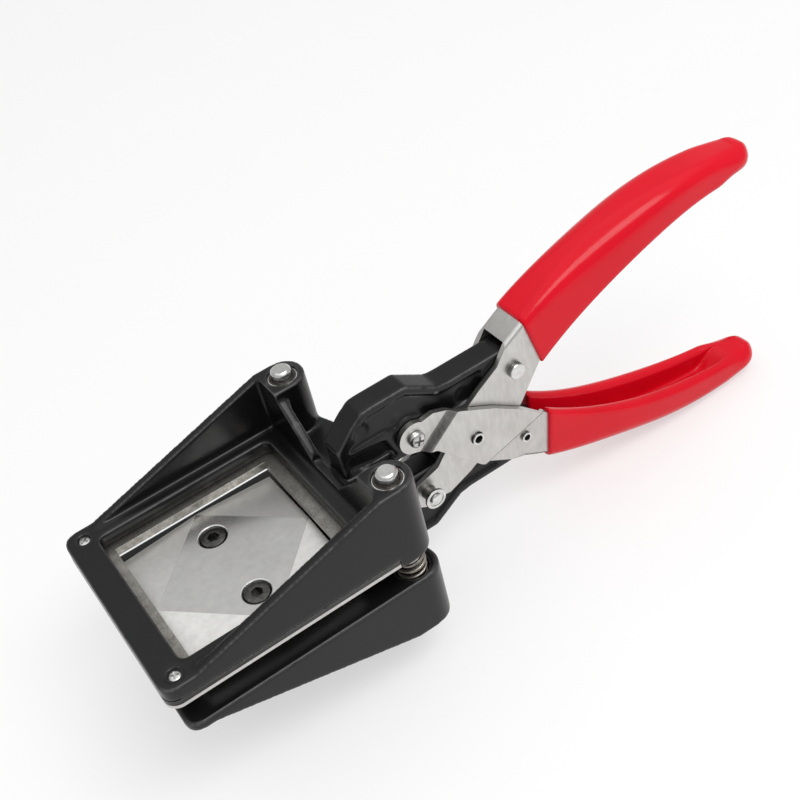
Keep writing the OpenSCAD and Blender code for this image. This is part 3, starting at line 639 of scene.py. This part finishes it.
def makePunch(name, look):
    high = look["top"] - look["low"]
    deselectAll()
    bpy.ops.mesh.primitive_cube_add(size=1.0, location=at(look["middle"], 0, (look["top"] + look["low"]) / 2))
    punch = bpy.context.object
    punch.name = name
    punch.scale = (look["side"] * mm, look["side"] * mm, high * mm)
    applyPlace(punch)
    slope = math.atan2(look["rake"], look["reach"])
    for corner in range(4):
        turn = math.radians(45 + 90 * corner)
        out = Vector((math.cos(turn), math.sin(turn), 0.0))
        editWhole(punch)
        bpy.ops.mesh.bisect(plane_co=at(look["middle"], 0, look["top"]) + out * look["reach"] * mm,
                            plane_no=out * math.sin(slope) + Vector((0, 0, math.cos(slope))),
                            use_fill=True, clear_outer=True)
        leaveEdit()
    faceOutward(punch)
    for spot in look["holes"]:
        cutAway(punch, turnPiece("holeCutter", look["hole"], spot))
    mergeDoubles(punch, meshLook["cutMerge"])
    low = at(0, 0, look["top"] - look["rimBand"]).z
    reach = (look["side"] / 2 - look["rimInset"]) * mm
    centre = at(look["middle"], 0, 0)

    def onHole(a, b):
        flat = min(a.z, b.z) > low and abs(a.z - b.z) < look["rimLevel"] * mm
        inside = max(abs(a.x - centre.x), abs(a.y), abs(b.x - centre.x), abs(b.y)) < reach
        return flat and inside and (a - b).length < look["rimStep"] * mm

    roundEdges(punch, onHole, look["rim"], look["rimSteps"])
    bevelByAngle(punch, look["edge"], look["edgeSteps"], look["edgeTurn"])
    smoothByAngle(punch, look["facet"])
    return punch


holeSpots = [at(x, y, 0.0) for x, y in punchLook["holes"]]


def onCorner(c, n):
    return punchLook["ground"][0] < n.z < punchLook["ground"][1]


def onHoleRimHighlight(c, n):
    tilted = punchLook["rimTilt"][0] < n.z < punchLook["rimTilt"][1]
    return tilted and min(planGap(c, spot) for spot in holeSpots) < punchLook["rimReach"] * mm


punchBlock = dress(makePunch("punchBlock", punchLook), steel["punchSteel"],
                   "base", "tool_steel", "punch_block")
# the corner facets get a lighter steel: partly their ground finish, partly painted highlight
moreFinish(punchBlock, steel["groundSteel"], onCorner)
# painted highlight: the countersink rims get the lighter bright steel and show as thin light rings
moreFinish(punchBlock, steel["brightSteel"], onHoleRimHighlight)
print("punch ground")

# return springs: round wire with closed end coils
springLook = {"coil": 4.0, "wire": 1.1, "bottom": -13.3, "top": 12.0, "turns": 9.0, "closed": 1.0,
              "closedPitch": 0.98, "perTurn": 26, "wireSteps": 3, "smooth": 50.0, "spot": (76.2, 28.4),
              "keep": 0.763}


def windSpring(name, side, look):
    low, high = look["bottom"] + look["wire"] / 2, look["top"] - look["wire"] / 2
    closedRise = look["wire"] * look["closedPitch"]
    total = look["turns"] + 2 * look["closed"]
    count = int(total * look["perTurn"])
    deselectAll()
    bpy.ops.curve.primitive_bezier_circle_add(radius=1.0)
    coil = bpy.context.object
    coil.name = name
    coil.data.splines.clear()
    line = coil.data.splines.new("POLY")
    line.points.add(count)
    free = high - low - 2 * closedRise * look["closed"]
    for index in range(count + 1):
        turn = total * index / count
        ends = min(turn, look["closed"]) + max(turn - total + look["closed"], 0.0)
        middle = min(max(turn - look["closed"], 0.0), look["turns"])
        rise = low + ends * closedRise + free * middle / look["turns"]
        angle = math.tau * turn
        spot = at(look["spot"][0] + look["coil"] * math.cos(angle),
                  side * look["spot"][1] + look["coil"] * math.sin(angle), rise)
        line.points[index].co = (*spot, 1.0)
    coil.data.dimensions = "3D"
    coil.data.bevel_depth = look["wire"] / 2 * mm
    coil.data.bevel_resolution = look["wireSteps"]
    coil.data.use_fill_caps = True
    coil.location = (0, 0, 0)
    pick(coil)
    bpy.ops.object.convert(target="MESH")
    piece = bpy.context.object
    mergeDoubles(piece, meshLook["cutMerge"])
    faceOutward(piece)
    smoothByAngle(piece, look["smooth"])
    return piece


for name, side, node in (("returnSpringLeft", 1, "return_spring_left"),
                         ("returnSpringRight", -1, "return_spring_right")):
    spring = windSpring(name, side, springLook)
    dress(spring, steel["springSteel"], "base", "spring_steel", node)
    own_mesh(spring)
print("springs wound")

# handles: outlines as X from the front edge and height from the middle of the linkage
handleShape = {"middle": -1.15, "halfWidth": 7.4, "cheekOut": 6.25, "tipRadius": 4.2, "tipLean": 100.0,
               "lean": (0.45, -0.9), "vinyl": 1.15, "steelEnd": 0.93, "steps": 12, "tipRun": 8.6}
upperHandle = {"way": 1, "length": 228.5, "rise": 39.8, "web": ((131.0, 25.6), (152.0, 38.6), (183.5, 50.8)),
               "finger": ((142.3, 11.0), (159.0, 22.3), (188.5, 39.1)), "front": 0.1}
lowerHandle = {"way": -1, "length": 230.0, "rise": 40.2, "web": ((131.0, 22.0), (150.0, 33.2), (186.0, 46.6)),
               "finger": ((142.3, 7.8), (160.0, 21.6), (190.0, 33.6)), "front": 0.137}


def tipEnd(handle, degrees, radius):
    turn = math.radians(degrees)
    # a fuller tip grows inwards, so that it stays inside the solid's height
    rise = handle["rise"] - (radius - handleShape["tipRadius"])
    return (handle["length"] - radius + radius * math.cos(turn), rise + radius * math.sin(turn))


def alongEdge(handle, edge, t, radius):
    lean = handleShape["tipLean"] if edge == "web" else -handleShape["tipLean"]
    points = [Vector(p) for p in handle[edge]] + [Vector(tipEnd(handle, lean, radius))]
    s = 1.0 - t
    return s ** 3 * points[0] + 3 * s * s * t * points[1] + 3 * s * t * t * points[2] + t ** 3 * points[3]


# bent sheet steel: rounded folds between web and cheeks, then broken edges
sheetLook = {"fold": 1.65, "foldSteps": 6, "foldReach": (0.02, 0.05), "edge": 0.22, "edgeSteps": 2,
             "joggle": 0.7, "joggleSteps": 4, "joggleTurn": (8.0, 75.0), "joggleFace": 0.3,
             "shadeTilt": (0.12, 0.97)}


def spotKey(spot):
    return tuple(round(value / mm, 3) for value in spot)


def roundJoggles(piece, look):
    sides = {}
    for face in piece.data.polygons:
        for key in face.edge_keys:
            sides.setdefault(key, []).append(face.normal.copy())
    least, most = (math.radians(turn) for turn in look["joggleTurn"])
    bends = set()
    for key, normals in sides.items():
        flat = len(normals) == 2 and min(abs(normal.y) for normal in normals) > look["joggleFace"]
        if flat and least < normals[0].angle(normals[1]) < most:
            bends.add(frozenset(spotKey(piece.data.vertices[index].co) for index in key))
    if not bends:
        return
    roundEdges(piece, lambda a, b: frozenset((spotKey(a), spotKey(b))) in bends, look["joggle"],
               look["joggleSteps"])
    print(piece.name, "joggle edges:", len(bends))


def bendChannel(node, name, handle, look):
    piece = copyOfNode(node, name)
    roundJoggles(piece, look)
    shape = handleShape
    depth = shape["vinyl"]
    fold = []
    for index in range(shape["steps"] + 1):
        p = alongEdge(handle, "web", shape["steelEnd"] * index / shape["steps"], shape["tipRadius"])
        x, w = p.x + depth * shape["lean"][0], p.y + depth * shape["lean"][1]
        fold.append(at(x, 0.0, shape["middle"] + handle["way"] * w))
    side = shape["cheekOut"] * mm
    level, reach = (value * mm for value in look["foldReach"])

    def onFold(spot):
        if abs(abs(spot.y) - side) > level:
            return False
        return min((Vector((p.x, spot.y, p.z)) - spot).length for p in fold) < reach

    roundEdges(piece, lambda a, b: onFold(a) and onFold(b) and abs(a.y - b.y) < level, look["fold"],
               look["foldSteps"], clamp=False)
    breakEdges(piece, look["edge"], look["edgeSteps"])
    return piece


dress(bendChannel("upper_channel", "upperChannel", upperHandle, sheetLook),
      steel["handleSteel"], "upper_handle", "handle_steel", "upper_channel")
lowerChannel = dress(bendChannel("lower_channel", "lowerChannel", lowerHandle, sheetLook),
                     steel["handleSteel"], "lower_handle", "handle_steel", "lower_channel")
# painted shade: the joggles and sheared edges get a darker steel than the flats, so that they read as shaded
# lines
moreFinish(lowerChannel, steel["creaseSteel"],
           lambda c, n: sheetLook["shadeTilt"][0] < abs(n.y) < sheetLook["shadeTilt"][1])
print("channels bent")

# dipped grips: one skin over web and cheeks, rolled over the rims and closed at the tip
gripLook = {"webRound": ((0.0, 3.2), (0.45, 6.2), (0.85, 4.3)), "rimRound": 1.9, "tipRound": (0.89, 1.0),
            "hollow": 3.35, "floor": 4.05, "floorRound": 1.3, "closing": (0.84, 0.95), "lip": (0.5, 0.15),
            "lipRun": (0.0, 0.0035, 0.009), "sections": 84, "tipSections": 24, "tipRadius": 4.6,
            "tipSoft": 0.5, "swell": 1.5, "swellFrom": 139.9, "swellEnd": 7.4, "mostRound": 0.48,
            "mostInner": 0.5, "mostCorner": 0.45, "leastDeep": 0.001, "merge": 0.003, "smooth": 40.0}
gripSteps = {"rim": 6, "cheek": 7, "web": 9, "top": 8, "inner": 6, "wall": 6, "corner": 5, "floor": 5}


def arcOf(centre, radius, start, end, steps):
    spots = []
    for index in range(steps + 1):
        turn = math.radians(start + (end - start) * index / steps)
        spots.append((centre[0] + radius * math.cos(turn), centre[1] + radius * math.sin(turn)))
    return spots


def lineOf(first, last, steps):
    return [(first[0] + (last[0] - first[0]) * i / steps, first[1] + (last[1] - first[1]) * i / steps)
            for i in range(1, steps)]


def easeIn(value, first, last):
    t = min(max((value - first) / (last - first), 0.0), 1.0)
    return t * t * (3 - 2 * t)


def webRoundAt(look, s):
    pairs = look["webRound"]
    radius = pairs[0][1]
    for (first, low), (last, high) in zip(pairs, pairs[1:]):
        radius += (high - low) * easeIn(s, first, last)
    return radius


def drawnIn(value, other, share):
    # a point of a square section drawn in towards an ellipse
    return value * (1 - share * (1 - math.sqrt(max(1 - other * other / 2, 0.0))))


def gripRing(look, deep, closed, shrink, s):
    # one section: across and down from the web, out round the far cheek and back through the hollow
    steps = gripSteps
    half = handleShape["halfWidth"] - shrink
    bullet = easeIn(s, *look["tipRound"])
    most = look["mostRound"] * deep
    web = min(webRoundAt(look, s), most)
    web += (most - web) * bullet
    rim = min(look["rimRound"], most)
    rim += (most - rim) * bullet
    hollow = look["hollow"] + shrink
    base = min(look["floor"] - shrink, deep)
    base += (deep - base) * closed
    inner = min(look["rimRound"], look["mostInner"] * (deep - base), half - rim - hollow)
    corner = min(look["floorRound"], look["mostCorner"] * (deep - base))
    low = deep - shrink
    ring = []
    ring += arcOf((-half + rim, low - rim), rim, 90, 180, steps["rim"])
    ring += lineOf((-half, low - rim), (-half, shrink + web), steps["cheek"])
    ring += arcOf((-half + web, shrink + web), web, 180, 270, steps["web"])
    ring += lineOf((-half + web, shrink), (half - web, shrink), steps["top"])
    ring += arcOf((half - web, shrink + web), web, 270, 360, steps["web"])
    ring += lineOf((half, shrink + web), (half, low - rim), steps["cheek"])
    ring += arcOf((half - rim, low - rim), rim, 0, 90, steps["rim"])
    ring += arcOf((hollow + inner, low - inner), inner, 90, 180, steps["inner"])
    ring += lineOf((hollow, low - inner), (hollow, base + corner), steps["wall"])
    ring += arcOf((hollow - corner, base + corner), corner, 0, -90, steps["corner"])
    ring += lineOf((hollow - corner, base), (-hollow + corner, base), steps["floor"])
    ring += arcOf((-hollow + corner, base + corner), corner, -90, -180, steps["corner"])
    ring += lineOf((-hollow, base + corner), (-hollow, low - inner), steps["wall"])
    ring += arcOf((-hollow - inner, low - inner), inner, 0, 90, steps["inner"])
    # towards the tip the section turns into an ellipse
    share = look["tipSoft"] * bullet
    soft = []
    for across, depth in ring:
        u, v = across / half, 2 * depth / deep - 1
        soft.append((half * drawnIn(u, v, share), deep / 2 * (1 + drawnIn(v, u, share))))
    return soft + soft[:1]


def gripSections(handle, look):
    sections = []
    run = list(look["lipRun"])
    run += [run[-1] + (1.0 - run[-1]) * i / look["sections"] for i in range(1, look["sections"] + 1)]
    for index, s in enumerate(run):
        top = alongEdge(handle, "web", handle["front"] + (1.0 - handle["front"]) * s, look["tipRadius"])
        low = alongEdge(handle, "finger", s, look["tipRadius"])
        shrink = look["lip"][index] if index < len(look["lip"]) else 0.0
        sections.append((top, low, easeIn(s, *look["closing"]), shrink, s))
    for index in range(1, look["tipSections"] + 1):
        lean = handleShape["tipLean"] * (1.0 - index / look["tipSections"])
        sections.append((Vector(tipEnd(handle, lean, look["tipRadius"])),
                         Vector(tipEnd(handle, -lean, look["tipRadius"])), 1.0, 0.0, 1.0))
    return sections


def dipGrip(name, handle, look):
    shape = handleShape
    rings = []
    for top, low, closed, shrink, s in gripSections(handle, look):
        deep = max((low - top).length, look["leastDeep"])
        down = (low - top) / deep
        ring = []
        for across, depth in gripRing(look, deep, closed, shrink, s):
            x, w = top.x + down.x * depth, top.y + down.y * depth
            past = max(x - handle["length"] + shape["tipRun"], 0.0)
            plan = math.sqrt(max(1.0 - (past / shape["tipRun"]) ** 2, 0.0))
            share = (x - look["swellFrom"]) / (handle["length"] - look["swellEnd"] - look["swellFrom"])
            swell = look["swell"] * (1 - math.cos(math.tau * min(max(share, 0.0), 1.0))) / 2
            wide = plan * (1 + swell / shape["halfWidth"])
            ring.append(at(x, across * wide, shape["middle"] + handle["way"] * w))
        rings.append(ring)
    around, along = len(rings[0]) - 1, len(rings) - 1
    deselectAll()
    bpy.ops.mesh.primitive_grid_add(x_subdivisions=around, y_subdivisions=along, size=1.0,
                                    location=(0, 0, 0))
    piece = bpy.context.object
    piece.name = name
    for spot in piece.data.vertices:
        spot.co = rings[round((spot.co.y + 0.5) * along)][round((spot.co.x + 0.5) * around)]
    mergeDoubles(piece, look["merge"])
    editEdges(piece)
    bpy.ops.mesh.select_non_manifold(extend=False, use_wire=False, use_boundary=True, use_multi_face=False,
                                     use_non_contiguous=False, use_verts=False)
    bpy.ops.mesh.edge_face_add()
    leaveEdit()
    faceOutward(piece)
    smoothByAngle(piece, look["smooth"])
    return piece


dress(dipGrip("upperGrip", upperHandle, gripLook), redVinyl, "upper_handle", "red_vinyl", "upper_grip")
dress(dipGrip("lowerGrip", lowerHandle, gripLook), redVinyl, "lower_handle", "red_vinyl", "lower_grip")
print("grips dipped")

# floor, light and camera: a soft tent that is brighter overhead, and one lamp
studio = {"floorSize": 4.0, "floorDrop": 0.0008, "floorWhite": 0.55, "floorRough": 0.9, "floorGloss": 0.1,
          "floorCloud": 8.0, "floorDeep": (0.90, 0.90, 0.90), "floorPale": (0.93, 0.93, 0.93),
          "tentLow": (0.63, 0.50), "tentHigh": (0.86, 1.10), "aim": (0.03, 0.0, 0.05)}
lampLooks = {"keyLight": {"place": (0.14, -0.42, 0.86), "size": (0.66, 0.40), "watts": 4.0}}
photoCamera = {"place": (-0.12854, -0.24619, 0.30031), "right": (0.823399, -0.532195, -0.196934),
               "up": (0.486658, 0.483772, 0.727413), "lens": 57.03, "shift": (0.0306, 0.0123), "sensor": 36.0,
               "near": 0.01}


def seenDirectly(tree):
    # 1 for camera, gloss and clear rays, which see the floor's own white; other rays see plain paper
    path = addNode(tree, "LightPath")
    seen = path.outputs["Is Camera Ray"]
    for label in ("Is Glossy Ray", "Is Transmission Ray"):
        either = addNode(tree, "Math", operation="MAXIMUM")
        tree.links.new(seen, either.inputs[0])
        tree.links.new(path.outputs[label], either.inputs[1])
        seen = either.outputs[0]
    return seen


def lightTent(look):
    world = bpy.data.worlds.new("studioWorld")
    bpy.context.scene.world = world
    world.use_nodes = True
    tree = world.node_tree
    tent = tree.nodes["Background"]
    tent.inputs["Color"].default_value = (1.0, 1.0, 1.0, 1.0)
    height = addNode(tree, "SeparateXYZ")
    tree.links.new(addNode(tree, "TexCoord").outputs["Generated"], height.inputs[0])
    (foot, low), (head, high) = look["tentLow"], look["tentHigh"]
    level = addNode(tree, "MapRange", {"From Min": foot, "From Max": head, "To Min": low, "To Max": high},
                    interpolation_type="SMOOTHSTEP")
    tree.links.new(height.outputs["Z"], level.inputs["Value"])
    tree.links.new(level.outputs[0], tent.inputs["Strength"])
    for name, lampLook in lampLooks.items():
        place = Vector(lampLook["place"])
        deselectAll()
        bpy.ops.object.light_add(type="AREA", location=place,
                                 rotation=(Vector(look["aim"]) - place).to_track_quat("-Z", "Y").to_euler())
        lamp = bpy.context.object
        lamp.name = name
        lamp.data.shape = "RECTANGLE"
        lamp.data.size, lamp.data.size_y = lampLook["size"]
        lamp.data.energy = lampLook["watts"]


def layFloor(look):
    deselectAll()
    bpy.ops.mesh.primitive_plane_add(size=look["floorSize"], location=(0, 0, cadBox[0].z - look["floorDrop"]))
    floor = bpy.context.object
    floor.name = "floor"
    finish, tree, shader, place = startMaterial("paleFloor", {"Roughness": look["floorRough"],
                                                              "Specular IOR Level": look["floorGloss"]})
    cloud = useGroup(tree, grain, place, Scale=look["floorCloud"], Detail=2.0)
    tree.links.new(mixColours(tree, cloud.outputs[0], look["floorDeep"], look["floorPale"]),
                   shader.inputs["Base Color"])
    glow = addNode(tree, "Emission", {"Strength": 1.0})
    share = addNode(tree, "Math", {1: look["floorWhite"]}, operation="MULTIPLY")
    tree.links.new(seenDirectly(tree), share.inputs[0])
    mixed = addNode(tree, "MixShader")
    tree.links.new(share.outputs[0], mixed.inputs[0])
    tree.links.new(shader.outputs[0], mixed.inputs[1])
    tree.links.new(glow.outputs[0], mixed.inputs[2])
    tree.links.new(mixed.outputs[0], tree.nodes["Material Output"].inputs["Surface"])
    floor.data.materials.append(finish)


def setCamera(look):
    right, up = Vector(look["right"]), Vector(look["up"])
    turn = Matrix((right, up, right.cross(up))).transposed()
    deselectAll()
    bpy.ops.object.camera_add(location=look["place"], rotation=turn.to_euler())
    camera = bpy.context.object
    camera.name = "photoCamera"
    camera.data.sensor_width = look["sensor"]
    camera.data.lens = look["lens"]
    camera.data.shift_x, camera.data.shift_y = look["shift"]
    camera.data.clip_start = look["near"]
    bpy.context.scene.camera = camera


lightTent(studio)
layFloor(studio)
setCamera(photoCamera)
bpy.context.scene.view_settings.view_transform = "Standard"
print("studio set")
